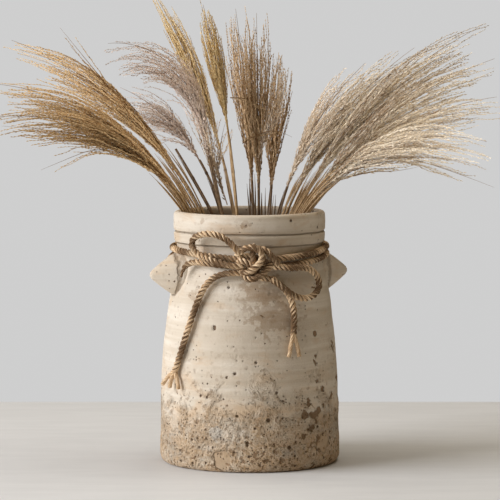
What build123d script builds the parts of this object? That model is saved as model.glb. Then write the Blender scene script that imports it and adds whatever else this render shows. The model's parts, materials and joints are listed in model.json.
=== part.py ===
"""Rustic stoneware flower vase with a jute bow and a bunch of dried grasses, in millimetres.

The origin is the centre of the vase's flat base, +Z is up, +X is to the right and the bow
faces -Y. Every grass is a separate plant that lifts straight up out of the mouth.
"""
import os
from math import cos, pi, radians, sin, tan

from build123d import *

# ---- vase -----------------------------------------------------------------------------
vase_height = 250.0
body_radius = 88.6            # widest part of the thrown body
neck_radius = 72.0            # outside of the neck, where the twine sits
collar_radius = 75.6          # outside of the banded collar above the neck
collar_base = 219.0           # height of the collar's lower edge
neck_base = 200.0             # height where the shoulder meets the straight neck
mouth_radius = 67.4           # inside of the collar
neck_bore = 64.8              # inside of the neck
wall = 7.6                    # body wall
floor_thickness = 10.0
foot_edge = 6.0               # rounding of the bottom edge
lip_drop = 4.0                # height of the rounded lip
groove_height = 230.0         # centre of the groove cut round the collar
groove_radius = 1.1

# outside of the body between the foot and the neck: (radius, height)
body_curve = [
    (body_radius, 38.0),
    (body_radius - 0.6, 84.0),
    (85.8, 117.0),
    (82.5, 143.0),
    (79.4, 166.0),
    (75.6, 185.0),
    (neck_radius, neck_base),
]

# ---- lugs -----------------------------------------------------------------------------
lug_height = 188.0            # height of the lug's axis
lug_turn = 17.0               # the pair is turned this far about Z, left lug to the front
lug_tip = 102.5               # radius of the lug's tip
lug_end_round = 1.4
# (radius from the vase axis, half width, half height)
lug_sections = [
    (62.0, 18.0, 18.4),
    (76.0, 16.4, 17.4),
    (86.0, 11.6, 13.0),
    (95.0, 7.2, 7.8),
    (100.5, 4.0, 4.2),
    (lug_tip, 2.2, 2.3),
]

# ---- jute twine -----------------------------------------------------------------------
twine = 6.5                   # three-ply twine
ply = 2.8                     # one of its plies, where the ends have untwisted
bend_share = 0.45             # share of the shorter run that each bend takes up

# wraps round the neck: (azimuth, radius, height)
upper_wrap = [
    (265.5, 76.4, 207.0),
    (248, 78.0, 208.5),
    (226, 78.0, 210.8),
    (202, 78.0, 212.6),
    (178, 78.0, 213.6),
    (154, 78.0, 213.4),
    (130, 78.0, 213.8),
    (106, 78.0, 213.2),
    (82, 78.0, 213.7),
    (58, 78.0, 214.3),
    (34, 78.0, 215.4),
    (10, 78.0, 215.5),
    (-14, 78.0, 213.8),
    (-38, 78.0, 210.6),
    (-58, 78.0, 208.4),
    (-73.0, 76.8, 207.0),
]
lower_wrap = [
    (181.5, 81.6, 194.5),
    (176, 80.4, 199.6),
    (168, 78.8, 203.8),
    (156, 78.2, 206.0),
    (134, 78.0, 206.4),
    (110, 78.0, 205.9),
    (86, 78.0, 206.5),
    (62, 78.0, 207.0),
    (38, 78.0, 208.8),
    (14, 78.0, 209.0),
    (-10, 78.0, 206.9),
    (-34, 78.2, 203.4),
    (-56, 78.4, 201.2),
    (-73.0, 77.2, 200.0),
]
# the same strand in front of the left lug, tucked down against the lug's root
left_wrap = [
    (265.5, 76.6, 200.2),
    (250, 78.4, 201.0),
    (236, 78.4, 203.2),
    (226, 78.8, 203.4),
    (219.5, 80.6, 199.6),
    (217.2, 82.2, 194.0),
    (216.6, 83.4, 187.5),
]

# the bow in front of the neck: (x, y, z)
knot_centre = (8.0, -83.0, 206.5)
knot_size = (26.0, 16.0, 26.0)
knot_round = 6.5
left_loop = [
    (-6.4, -86.0, 202.5),
    (-14.5, -86.6, 201.4),
    (-25.5, -84.2, 203.4),
    (-37.5, -78.0, 206.4),
    (-47.5, -71.8, 209.6),
    (-54.5, -65.5, 215.6),
    (-56.6, -62.5, 222.6),
    (-53.0, -65.8, 228.8),
    (-45.0, -72.4, 231.6),
    (-36.0, -77.0, 232.4),
    (-26.5, -81.2, 229.6),
    (-17.5, -84.6, 223.0),
    (-12.0, -86.2, 217.0),
    (-7.4, -86.4, 212.6),
]
right_loop = [
    (22.2, -86.2, 202.0),
    (31.5, -84.5, 200.0),
    (43.0, -79.6, 199.0),
    (54.0, -72.6, 199.2),
    (62.5, -66.0, 194.8),
    (67.4, -62.0, 187.0),
    (68.0, -62.0, 178.6),
    (63.4, -66.0, 171.6),
    (55.0, -72.2, 168.6),
    (45.8, -78.4, 170.4),
    (37.2, -82.6, 176.4),
    (29.0, -84.8, 184.0),
    (21.6, -86.4, 189.6),
]
left_tail = [
    (-5.8, -80.0, 194.6),
    (-13.0, -79.6, 194.7),
    (-21.5, -77.8, 194.0),
    (-30.8, -74.4, 191.4),
    (-38.8, -70.0, 186.2),
    (-45.6, -69.2, 176.8),
    (-50.6, -68.0, 165.2),
    (-55.6, -65.8, 151.4),
    (-60.2, -64.4, 137.2),
    (-64.6, -62.4, 122.6),
    (-69.2, -58.8, 107.6),
    (-73.4, -54.2, 95.0),
]
right_tail = [
    (9.0, -80.4, 190.2),
    (16.5, -79.4, 189.6),
    (24.8, -77.4, 186.2),
    (33.0, -75.4, 179.6),
    (39.4, -74.4, 171.0),
    (42.6, -74.6, 160.8),
    (43.6, -75.6, 148.6),
    (42.6, -77.8, 134.6),
]
# untwisted plies at the two ends
left_end_plies = [
    [(-76.6, -50.6, 93.6), (-81.4, -44.0, 87.6), (-85.6, -35.6, 80.6)],
    [(-75.2, -52.8, 91.4), (-77.2, -51.2, 86.4), (-78.2, -49.4, 80.4)],
    [(-72.0, -56.4, 92.0), (-70.6, -59.2, 86.4), (-69.8, -60.8, 79.6)],
]
right_end_plies = [
    [(41.4, -78.6, 131.6), (40.0, -80.0, 123.0), (38.0, -81.6, 112.6)],
    [(44.2, -77.6, 131.2), (46.4, -77.4, 123.0), (48.4, -77.6, 112.8)],
]

# ---- grasses --------------------------------------------------------------------------
stem_radius = 1.3
stem_foot = 12.0              # the stems stand just above the vase's floor
# swell of a plume from its first branch to its tip: (share of its length, share of its size)
# how far a stem runs straight above the mouth before its second bend
straight_rise = {"grass_arching": 95}
plume_swell = [(0.14, 0.5), (0.36, 0.92), (0.6, 1.0), (0.84, 0.66), (1.0, 0.2)]

# Each plant stands straight, bends outwards to `lean` at the mouth, where it is `reach`
# out from its foot, and goes on bending to `tip_lean` at its tip.
# name: foot x, foot y, azimuth, reach, lean, length above the mouth, tip_lean,
#       plume length, plume half width, plume half depth (no plume where it is 0)
grasses = {
    "grass_left_high": (-10, 23, 163, 44, 28, 268, 72, 190, 12, 8),
    "grass_left_middle": (-12, 17, 179, 49, 30, 238, 84, 180, 12, 8),
    "grass_left_low": (-11, 11, 195, 52, 32, 226, 96, 165, 12, 8),
    "bare_stem_left": (-7, 28, 152, 38, 32, 70, 36, 0, 0, 0),
    "grass_arching": (-7, 5, 214, 25, 15, 235, 95, 128, 10, 7),
    "grass_left_back": (-5, 33, 147, 30, 20, 178, 72, 125, 9, 7),
    "grass_golden": (-2, 38, 134, 21, 15, 244, 42, 190, 8, 7),
    "grass_tall": (-4, -1, 236, 15, 8, 212, 24, 135, 8, 7),
    "grass_centre_back": (8, 36, 115, 10, 6, 205, 18, 165, 8, 7),
    "grass_centre_front": (10, 1, 262, 5, 3, 196, 7, 165, 7, 6),
    "grass_centre_right": (17, 36, 70, 12, 7, 155, 16, 130, 8, 7),
    "grass_right_front": (17, 4, 318, 18, 19, 186, 54, 160, 9, 7),
    "grass_right_back": (19, 29, 36, 26, 29, 232, 62, 185, 13, 8),
    "grass_right_high": (21, 24.5, 20, 30, 30, 272, 65, 215, 13, 8),
    "grass_right_middle": (23, 16.8, 4, 31, 33, 248, 71, 195, 13, 8),
    "grass_right_low": (23, 10, 348, 35, 36, 226, 82, 170, 13, 8),
    "grass_right_lowest": (22, 6, 332, 38, 37, 218, 102, 150, 12, 8),
    "bare_stem_right_back": (24, 20.8, 12, 32, 36, 105, 48, 0, 0, 0),
    "bare_stem_right_front": (24.5, 13.4, 356, 36, 38, 108, 50, 0, 0, 0),
}

os.makedirs("parts", exist_ok=True)


def save(part, label):
    part.label = label
    export_step(part, f"parts/{label}.step")


# ---- vase body: one thrown shell, open at the mouth --------------------------------------
outer_top = vase_height - lip_drop
with BuildPart() as vase_body:
    with BuildSketch(Plane.XZ) as wall_section:
        with BuildLine():
            Line((0, 0), (body_radius - foot_edge, 0))
            RadiusArc((body_radius - foot_edge, 0), (body_radius - 0.2, foot_edge), -foot_edge - 0.1)
            Spline((body_radius - 0.2, foot_edge), *body_curve, tangents=[(0, 1), (0, 1)])
            Line((neck_radius, neck_base), (neck_radius, collar_base))
            Polyline(
                (neck_radius, collar_base),
                (collar_radius - 0.8, collar_base + 1.4),
                (collar_radius, collar_base + 5.0),
                (collar_radius, outer_top),
            )
            ThreePointArc(
                (collar_radius, outer_top),
                ((collar_radius + mouth_radius) / 2, vase_height),
                (mouth_radius, outer_top - 0.6),
            )
            Line((mouth_radius, outer_top - 0.6), (mouth_radius, collar_base + 6.0))
            Line((mouth_radius, collar_base + 6.0), (neck_bore, collar_base - 2.0))
            Line((neck_bore, collar_base - 2.0), (neck_bore, neck_base))
            Spline(
                (neck_bore, neck_base),
                (79.4 - wall, 166.0),
                (85.8 - wall, 117.0),
                (body_radius - wall, 70.0),
                (body_radius - wall, floor_thickness + 8.0),
                tangents=[(0, -1), (0, -1)],
            )
            RadiusArc(
                (body_radius - wall, floor_thickness + 8.0),
                (body_radius - wall - 8.0, floor_thickness),
                8.0,
            )
            Line((body_radius - wall - 8.0, floor_thickness), (0, floor_thickness))
            Line((0, floor_thickness), (0, 0))
        make_face()
    revolve(axis=Axis.Z)
    with BuildSketch(Plane.XZ):
        with Locations((collar_radius + 0.2, groove_height)):
            Circle(groove_radius)
    revolve(axis=Axis.Z, mode=Mode.SUBTRACT)
save(vase_body.part, "vase_body")

# the space that the vase's outside fills, which the lugs are cut to
with BuildPart() as vase_core:
    with BuildSketch(Plane.XZ):
        with BuildLine():
            Line((0, 0), (body_radius - 0.2, 0))
            Line((body_radius - 0.2, 0), (body_radius - 0.2, foot_edge))
            Spline((body_radius - 0.2, foot_edge), *body_curve, tangents=[(0, 1), (0, 1)])
            Line((neck_radius, neck_base), (neck_radius, vase_height))
            Line((neck_radius, vase_height), (0, vase_height))
            Line((0, vase_height), (0, 0))
        make_face()
    revolve(axis=Axis.Z)


# ---- lugs: two solid pinched horns, luted on to the shoulder -----------------------------
def make_lug(azimuth, label):
    outward = Vector(cos(radians(azimuth)), sin(radians(azimuth)), 0)
    with BuildPart() as lug:
        for radius, half_width, half_height in lug_sections:
            section = Plane(
                origin=outward * radius + Vector(0, 0, lug_height), x_dir=(0, 0, 1), z_dir=outward
            )
            with BuildSketch(section):
                Ellipse(half_height, half_width)
        loft()
        tip_edge = lug.edges().sort_by(SortBy.LENGTH)[0]
        fillet(tip_edge, lug_end_round)
        add(vase_core.part, mode=Mode.SUBTRACT)
    save(lug.part, label)


make_lug(180 + lug_turn, "lug_left")
make_lug(lug_turn, "lug_right")


# ---- twine ----------------------------------------------------------------------------
def bend_radii(route):
    """The largest arcs that the runs on both sides of each corner leave room for."""
    points = [Vector(*point) for point in route]
    radii = []
    for before, corner, after in zip(points, points[1:], points[2:]):
        turn = radians((corner - before).get_angle(after - corner))
        shorter = min((corner - before).length, (after - corner).length)
        radii.append(bend_share * shorter / tan(turn / 2))
    return radii


def start_plane(route):
    start = Vector(*route[0])
    return Plane(origin=start, z_dir=Vector(*route[1]) - start)


def make_twine(routes, diameter, label):
    with BuildPart() as length:
        for route in routes:
            with BuildLine():
                FilletPolyline(*route, radius=bend_radii(route))
            with BuildSketch(start_plane(route)):
                Circle(diameter / 2)
            sweep()
    radii = ", ".join(f"{radius:.0f}" for route in routes for radius in bend_radii(route))
    measured = length.part.volume / (pi * diameter**2 / 4)
    print(f"{label}: length {measured:.1f} by volume, bends {radii}")
    save(length.part, label)


def round_the_neck(wrap):
    return [
        (radius * cos(radians(azimuth)), radius * sin(radians(azimuth)), height)
        for azimuth, radius, height in wrap
    ]


make_twine([round_the_neck(upper_wrap)], twine, "twine_wrap_upper")
make_twine([round_the_neck(lower_wrap)], twine, "twine_wrap_lower")
make_twine([round_the_neck(left_wrap)], twine, "twine_wrap_left")
make_twine([left_loop], twine, "bow_loop_left")
make_twine([right_loop], twine, "bow_loop_right")
make_twine([left_tail], twine, "twine_tail_left")
make_twine([right_tail], twine, "twine_tail_right")
make_twine(left_end_plies, ply, "twine_end_left")
make_twine(right_end_plies, ply, "twine_end_right")

with BuildPart() as bow_knot:
    with Locations(knot_centre):
        Box(*knot_size)
    fillet(bow_knot.edges(), knot_round)
save(bow_knot.part, "bow_knot")


# ---- grasses: a stem, and the soft envelope of its plume ---------------------------------
def make_grass(name, plant):
    foot_x, foot_y, azimuth, reach, lean, rise, tip_lean, plume, half_width, half_depth = plant
    east, north = cos(radians(azimuth)), sin(radians(azimuth))
    upright = Plane(origin=(foot_x, foot_y, 0), x_dir=(east, north, 0), z_dir=(north, -east, 0))
    lower_radius = reach / (1 - cos(radians(lean)))
    bend_start = vase_height - lower_radius * sin(radians(lean))
    straight = straight_rise.get(name, 0)
    bend_out = reach + straight * sin(radians(lean))
    bend_up = vase_height + straight * cos(radians(lean))
    bend_length = rise - straight
    upper_radius = bend_length / radians(tip_lean - lean)

    def lean_at(share):
        return radians(lean + (tip_lean - lean) * share)

    def section_at(share):
        """The plane across the plant, this share of the way along its second bend."""
        angle = lean_at(share)
        out = bend_out + upper_radius * (cos(radians(lean)) - cos(angle))
        up = bend_up + upper_radius * (sin(angle) - sin(radians(lean)))
        return Plane(
            origin=(foot_x + east * out, foot_y + north * out, up),
            x_dir=(east * cos(angle), north * cos(angle), -sin(angle)),
            z_dir=(east * sin(angle), north * sin(angle), cos(angle)),
        )

    plume_start = 1 - plume / bend_length
    with BuildPart() as stem:
        with BuildLine(upright) as stem_line:
            Line((0, stem_foot), (0, bend_start))
            JernArc((0, bend_start), (0, 1), lower_radius, -lean)
            if straight:
                Line((reach, vase_height), (bend_out, bend_up))
            JernArc(
                (bend_out, bend_up),
                (sin(radians(lean)), cos(radians(lean))),
                upper_radius,
                -(tip_lean - lean) * plume_start,
            )
        with BuildSketch(Plane.XY.offset(stem_foot)):
            with Locations((foot_x, foot_y)):
                Circle(stem_radius)
        sweep()
    save(stem.part, f"{name}_stem" if plume else name)

    if plume:
        with BuildPart() as head:
            with BuildSketch(section_at(plume_start)):
                Circle(stem_radius)
            for share, swell in plume_swell:
                with BuildSketch(section_at(plume_start + (1 - plume_start) * share)):
                    Ellipse(half_width * swell, half_depth * swell)
            loft()
        save(head.part, f"{name}_plume")


for grass_name, grass_plant in grasses.items():
    make_grass(grass_name, grass_plant)
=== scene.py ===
# Flower vase: lime-washed stoneware, a jute bow and dried plume grasses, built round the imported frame.
import json
import math

import bmesh
import bpy
from mathutils import Vector
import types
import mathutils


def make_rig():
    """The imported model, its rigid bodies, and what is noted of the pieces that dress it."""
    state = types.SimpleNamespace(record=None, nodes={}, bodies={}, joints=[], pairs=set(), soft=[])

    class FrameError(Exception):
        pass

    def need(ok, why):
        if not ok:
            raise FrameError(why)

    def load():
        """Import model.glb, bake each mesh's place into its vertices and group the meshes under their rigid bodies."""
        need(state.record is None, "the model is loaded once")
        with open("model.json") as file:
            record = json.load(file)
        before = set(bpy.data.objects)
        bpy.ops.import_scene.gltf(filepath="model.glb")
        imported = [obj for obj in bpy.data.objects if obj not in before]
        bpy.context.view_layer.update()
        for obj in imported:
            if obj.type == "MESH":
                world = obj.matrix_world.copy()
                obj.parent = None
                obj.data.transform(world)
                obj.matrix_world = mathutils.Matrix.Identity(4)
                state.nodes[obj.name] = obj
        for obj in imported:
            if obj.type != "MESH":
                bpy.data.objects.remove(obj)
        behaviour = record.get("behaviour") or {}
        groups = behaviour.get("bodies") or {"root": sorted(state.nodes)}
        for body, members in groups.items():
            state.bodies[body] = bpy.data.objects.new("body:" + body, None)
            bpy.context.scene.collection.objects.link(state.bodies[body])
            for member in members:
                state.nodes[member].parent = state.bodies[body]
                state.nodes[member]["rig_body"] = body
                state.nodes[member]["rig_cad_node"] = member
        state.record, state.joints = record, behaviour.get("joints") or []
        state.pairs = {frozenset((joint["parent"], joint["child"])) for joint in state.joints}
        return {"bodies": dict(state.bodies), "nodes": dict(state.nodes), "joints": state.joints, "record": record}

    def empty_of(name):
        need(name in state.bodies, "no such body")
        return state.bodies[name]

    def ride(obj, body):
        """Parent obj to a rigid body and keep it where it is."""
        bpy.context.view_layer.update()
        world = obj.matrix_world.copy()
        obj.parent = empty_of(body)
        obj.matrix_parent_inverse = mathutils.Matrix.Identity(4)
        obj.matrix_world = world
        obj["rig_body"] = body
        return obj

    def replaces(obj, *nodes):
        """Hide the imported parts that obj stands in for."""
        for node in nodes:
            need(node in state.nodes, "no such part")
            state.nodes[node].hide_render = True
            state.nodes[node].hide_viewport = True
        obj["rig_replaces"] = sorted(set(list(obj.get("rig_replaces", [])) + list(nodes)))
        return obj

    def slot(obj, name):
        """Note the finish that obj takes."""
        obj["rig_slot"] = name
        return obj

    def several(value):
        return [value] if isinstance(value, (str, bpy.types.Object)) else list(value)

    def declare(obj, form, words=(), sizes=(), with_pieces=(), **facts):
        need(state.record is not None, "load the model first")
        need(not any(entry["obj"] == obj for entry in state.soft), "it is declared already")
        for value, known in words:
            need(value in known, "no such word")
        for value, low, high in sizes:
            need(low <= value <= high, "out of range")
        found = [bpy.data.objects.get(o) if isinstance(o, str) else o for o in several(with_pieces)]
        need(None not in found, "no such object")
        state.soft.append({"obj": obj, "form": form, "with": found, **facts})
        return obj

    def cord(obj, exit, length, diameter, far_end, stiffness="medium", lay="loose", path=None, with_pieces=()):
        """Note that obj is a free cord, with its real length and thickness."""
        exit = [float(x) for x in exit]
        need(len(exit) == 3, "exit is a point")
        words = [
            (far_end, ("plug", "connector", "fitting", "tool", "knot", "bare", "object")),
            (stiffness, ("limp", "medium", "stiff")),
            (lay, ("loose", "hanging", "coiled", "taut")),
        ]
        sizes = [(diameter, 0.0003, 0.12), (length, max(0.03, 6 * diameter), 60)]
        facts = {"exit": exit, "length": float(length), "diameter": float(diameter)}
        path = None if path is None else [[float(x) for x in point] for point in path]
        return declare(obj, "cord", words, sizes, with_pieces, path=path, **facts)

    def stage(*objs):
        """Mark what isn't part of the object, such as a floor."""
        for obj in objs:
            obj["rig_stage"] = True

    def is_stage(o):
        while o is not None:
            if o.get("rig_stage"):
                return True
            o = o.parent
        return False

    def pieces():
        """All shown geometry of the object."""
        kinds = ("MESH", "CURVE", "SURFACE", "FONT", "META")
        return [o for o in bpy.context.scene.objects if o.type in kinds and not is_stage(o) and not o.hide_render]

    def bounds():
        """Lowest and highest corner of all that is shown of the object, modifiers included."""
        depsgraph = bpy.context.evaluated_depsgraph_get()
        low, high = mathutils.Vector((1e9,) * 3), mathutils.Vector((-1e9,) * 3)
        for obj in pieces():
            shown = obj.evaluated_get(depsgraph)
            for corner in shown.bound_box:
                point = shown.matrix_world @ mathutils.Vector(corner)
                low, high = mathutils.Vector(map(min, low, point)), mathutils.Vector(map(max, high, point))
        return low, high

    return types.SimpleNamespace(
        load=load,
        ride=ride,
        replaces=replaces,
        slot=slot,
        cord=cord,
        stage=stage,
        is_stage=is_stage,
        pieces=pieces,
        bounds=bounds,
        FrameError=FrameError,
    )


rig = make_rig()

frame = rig.load()
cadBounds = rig.bounds()
scene = bpy.context.scene
mm = 0.001


class Flow:
    # one socket; arithmetic on it adds Math nodes to its tree, so sums read as sums
    def __init__(self, graph, socket):
        self.graph = graph
        self.socket = socket

    def math(self, operation, *others, first=None):
        values = [self if first is None else first, *others]
        return self.graph.add("ShaderNodeMath", {"operation": operation}, dict(enumerate(values)))[0]

    def __add__(self, other):
        return self.math("ADD", other)

    __radd__ = __add__

    def __mul__(self, other):
        return self.math("MULTIPLY", other)

    __rmul__ = __mul__

    def __sub__(self, other):
        return self.math("SUBTRACT", other)

    def __rsub__(self, other):
        return self.math("SUBTRACT", self, first=other)

    def __truediv__(self, other):
        return self.math("DIVIDE", other)

    def __pow__(self, other):
        return self.math("POWER", other)

    def least(self, other):
        return self.math("MINIMUM", other)

    def most(self, other):
        return self.math("MAXIMUM", other)

    def ramp(self, low, high):
        # 0 below low, 1 above high, smooth between
        return self.graph.add(
            "ShaderNodeMapRange", {"interpolation_type": "SMOOTHSTEP"}, {0: self, 1: low, 2: high}
        )[0]


class Outputs:
    def __init__(self, graph, node):
        self.graph = graph
        self.node = node

    def __getitem__(self, key):
        return Flow(self.graph, self.node.outputs[key])


class Graph:
    # a node tree and the one way of adding a node: type, settings, then socket values or links
    def __init__(self, tree):
        self.tree = tree

    def add(self, kind, settings=None, sockets=None):
        node = self.tree.nodes.new(kind)
        for name, value in (settings or {}).items():
            setattr(node, name, value)
        for key, value in (sockets or {}).items():
            if isinstance(value, list):
                for each in value:
                    self.tree.links.new(each.socket, node.inputs[key])
            elif isinstance(value, Flow):
                self.tree.links.new(value.socket, node.inputs[key])
            else:
                node.inputs[key].default_value = value
        return Outputs(self, node)

    def noise(self, place, scale, detail=3.0, rough=0.55, warp=0.0):
        sockets = {"Vector": place, "Scale": scale, "Detail": detail, "Roughness": rough,
                   "Distortion": warp}
        return self.add("ShaderNodeTexNoise", None, sockets)[0]

    def cells(self, place, scale):
        return self.add("ShaderNodeTexVoronoi", None, {"Vector": place, "Scale": scale})

    def vectors(self, operation, *values):
        return self.add("ShaderNodeVectorMath", {"operation": operation}, dict(enumerate(values)))

    def stretch(self, place, factors):
        return self.vectors("MULTIPLY", place, factors)[0]

    def point(self, x=0.0, y=0.0, z=0.0):
        return self.add("ShaderNodeCombineXYZ", None, {0: x, 1: y, 2: z})[0]

    def mix(self, factor, low, high):
        # colours only
        def colour(c):
            return c if isinstance(c, Flow) else (*c, 1)

        sockets = {0: factor, 6: colour(low), 7: colour(high)}
        return self.add("ShaderNodeMix", {"data_type": "RGBA"}, sockets)[2]

    def part(self, place, axis):
        return self.add("ShaderNodeSeparateXYZ", None, {0: place})[axis]

    def attribute(self, name, output="Fac"):
        # a stored value, read in a material
        return self.add("ShaderNodeAttribute", {"attribute_name": name})[output]

    def named(self, name, kind="FLOAT"):
        # a stored value, read in a geometry tree
        return self.add("GeometryNodeInputNamedAttribute", {"data_type": kind}, {"Name": name})[0]

    def store(self, geometry, name, value, kind="FLOAT"):
        return self.add("GeometryNodeStoreNamedAttribute", {"data_type": kind, "domain": "POINT"},
                        {0: geometry, "Name": name, "Value": value})[0]

    def place(self):
        return self.add("GeometryNodeInputPosition")[0]

    def moved(self, geometry, **to):
        # Offset or Position
        return self.add("GeometryNodeSetPosition", None, {0: geometry, **to})[0]

    def joined(self, *parts):
        return self.add("GeometryNodeJoinGeometry", None, {0: list(parts)})[0]

    def smoothed(self, geometry):
        return self.add("GeometryNodeSetShadeSmooth", None, {0: geometry})[0]

    def onPoints(self, points, shape, **to):
        return self.add("GeometryNodeInstanceOnPoints", None,
                        {"Points": points, "Instance": shape, **to})[0]

    def circle(self, sides):
        return self.add("GeometryNodeCurvePrimitiveCircle", {"mode": "RADIUS"},
                        {"Resolution": sides, "Radius": 1.0})[0]

    def tube(self, curve, section, radius):
        return self.add("GeometryNodeCurveToMesh", None, {
            "Curve": curve, "Profile Curve": section, "Scale": radius, "Fill Caps": True})[0]

    def along(self, curve, factor):
        return self.add("GeometryNodeSampleCurve", {"mode": "FACTOR"},
                        {"Curves": curve, "Factor": factor})

    def spline(self, output="Factor"):
        return self.add("GeometryNodeSplineParameter")[output]

    def copies(self, points, count):
        # a straight line of that many points standing on each point, as real curves
        blank = self.add("GeometryNodeResampleCurve", None, {
            "Curve": self.add("GeometryNodeCurvePrimitiveLine")[0], "Count": count})[0]
        return self.add("GeometryNodeRealizeInstances", None, {0: self.onPoints(points, blank)})[0]


def newMaterial(name, paint, **constants):
    # paint(graph) gives a dictionary of the sockets that change over the surface
    material = bpy.data.materials.new(name)
    material.use_nodes = True
    tree = material.node_tree
    graph = Graph(tree)
    shader = tree.nodes["Principled BSDF"]
    for key, value in constants.items():
        shader.inputs[key.replace("_", " ")].default_value = value
    for key, value in paint(graph).items():
        tree.links.new(value.socket, shader.inputs[key])
    return material


def bump(graph, height, distance, strength=1.0):
    return graph.add(
        "ShaderNodeBump", None, {"Height": height, "Distance": distance, "Strength": strength}
    )["Normal"]


def evaluated(obj):
    # the modifiers' result as a plain mesh, on an object of its own at the origin
    graph = bpy.context.evaluated_depsgraph_get()
    mesh = bpy.data.meshes.new_from_object(obj.evaluated_get(graph))
    made = bpy.data.objects.new(obj.name + "_made", mesh)
    scene.collection.objects.link(made)
    name = obj.name
    bpy.data.objects.remove(obj)
    made.name = name
    return made


def link(name, data):
    obj = bpy.data.objects.new(name, data)
    scene.collection.objects.link(obj)
    return obj


def fit(piece, body, node, slot):
    # the piece moves with that body and stands in for that node
    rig.ride(piece, body)
    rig.replaces(piece, node)
    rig.slot(piece, slot)


vaseSizes = {
    "columns": 440,            # round the vase
    "wallRows": 180,           # up the outside
    "lipRows": 12,
    "bandLift": 0.00030,       # throwing rings
    "lumpLift": 0.0012,
    "crustLift": 0.0016,       # grit standing on the lower body
    "pitDepth": 0.0013,
    "grooves": (0.2304, 0.2188),    # heights of the two scored lines, darkened in the colour as painted shade, in metres
    # the rest in millimetres
    "neckRadius": 72.0,
    "neckTop": 217.5,          # where the collar starts
    "collarRadius": 75.3,
    "foot": 5.0,               # rounding of the bottom edge
    "lipStart": 246.2,
    "lipRise": 3.7,
    "mouthRadius": 67.6,
    "floorHeight": 10.0,
}
# one-off marks: centre in millimetres, radius, raggedness
clayMarks = {
    "flake": [((58, -66, 66), 4.2, 7), ((62, -62, 52), 7.0, 11), ((53, -71, 55), 4.6, 8),
              ((67, -57, 57), 3.8, 6), ((60, -65, 42), 4.4, 8), ((52, -72, 33), 3.2, 6),
              ((66, -57, 30), 4, 6), ((64, -54, 133), 3.6, 4), ((65, -57, 111), 2.2, 4),
              ((66, -56, 104), 1.9, 4), ((66, -57, 86), 2.4, 5), ((71, -51, 78), 2.6, 5),
              ((72, -50, 62), 2.6, 5), ((24, -85, 22), 3.0, 6)],
    "hole": [((-30, -77, 160), 1.9, 1), ((-40, -72, 150), 1.7, 2), ((-34, -75, 141), 2.2, 3),
             ((-22, -84, 93), 1.3, 1), ((-12, -87, 56), 1.7, 1), ((18, -86, 52), 2.0, 2),
             ((-36, -78, 47), 2.3, 2), ((4, -86, 128), 1.2, 1), ((38, -79, 24), 2.4, 3),
             ((-62, -62, 49), 1.6, 2), ((-2, -88, 30), 2.6, 3), ((-50, -72, 32), 2.2, 3),
             ((-54, -64, 140), 1.3, 1), ((56, -63, 152), 1.6, 1), ((-64, -60, 96), 1.3, 1),
             ((-73.6, -49.5, 35), 1.3, 1), ((-73.4, -49.8, 31.5), 1.3, 1),
             ((-73.8, -49.3, 28), 1.3, 1), ((-73.4, -49.8, 24.5), 1.3, 1),
             ((-73.2, -50.0, 21), 1.3, 1), ((-73.0, -50.2, 17.5), 1.2, 1)],
    "smooth": [((-26, -84, 12), 11, 7), ((70, -52, 26), 12, 8)],
    "frost": [((-33, -82, 38), 8, 9)],
    # darker warm brown patches below the bow knot, beside the two tails, and two small ones on the collar
    "stain": [((12, -86, 176), 26, 34), ((20, -82, 150), 20, 30), ((-4, -75, 241), 5, 9),
              ((-46, -60, 243), 4, 4), ((-58, -64, 172), 12, 22), ((42, -74, 150), 16, 24)],
}


def spots(graph, place, marks):
    # 1 inside any of the marks, 0 outside, with ragged edges
    ragged = graph.noise(place, 130, 3, 0.6) - 0.5
    total = None
    for centre, radius, rough in marks:
        reach = graph.vectors("DISTANCE", place, tuple(v * mm for v in centre))["Value"]
        inside = 1 - (reach + ragged * (rough * 2 * mm)).ramp(radius * 0.72 * mm, radius * mm)
        total = inside if total is None else total.most(inside)
    return total


# pinched cones pressed on to the shoulder, the pair turned a little about the axis
lugSizes = {
    "height": 188.0,
    "turn": 17.0,
    "creaseWidth": 20.4,       # the darkened ring where a lug meets the wall, painted shade partly over bare clay, half width and half height
    "creaseHeight": 20.8,
    # distance from the vase's axis, half width, half height
    "sections": [(66, 24.0, 24.5), (72, 22.6, 23.2), (76, 21.2, 21.6), (80, 19.2, 19.6),
                 (86, 15.0, 15.6), (91, 11.4, 12.0), (95, 8.4, 8.9), (98.5, 5.7, 6.1),
                 (100.9, 3.7, 4.0), (102.1, 2.0, 2.1)],
}
lugTurns = {"lug_left": 180 + lugSizes["turn"], "lug_right": lugSizes["turn"]}


def lugCreaseShade(graph, place):
    # a dark ring where each lug meets the wall: painted shade in the crease, partly bare clay in the seam
    total = None
    height, halfWidth, halfHeight = (
        lugSizes[key] * mm for key in ("height", "creaseWidth", "creaseHeight"))
    for azimuth in lugTurns.values():
        turn = math.radians(azimuth)
        across = graph.vectors("DOT_PRODUCT", place, (-math.sin(turn), math.cos(turn), 0))["Value"]
        out = graph.vectors("DOT_PRODUCT", place, (math.cos(turn), math.sin(turn), 0))["Value"]
        rise = (graph.part(place, 2) - height) / halfHeight
        far = (across * across / halfWidth**2 + rise * rise) ** 0.5
        ragged = (graph.noise(place, 150, 3) - 0.5) * 0.16
        ring = 1 - (far + ragged - 1.0).math("ABSOLUTE").ramp(0.01, 0.07)
        ring = ring * out.ramp(0.0, 0.01)
        total = ring if total is None else total.most(ring)
    return total


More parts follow.
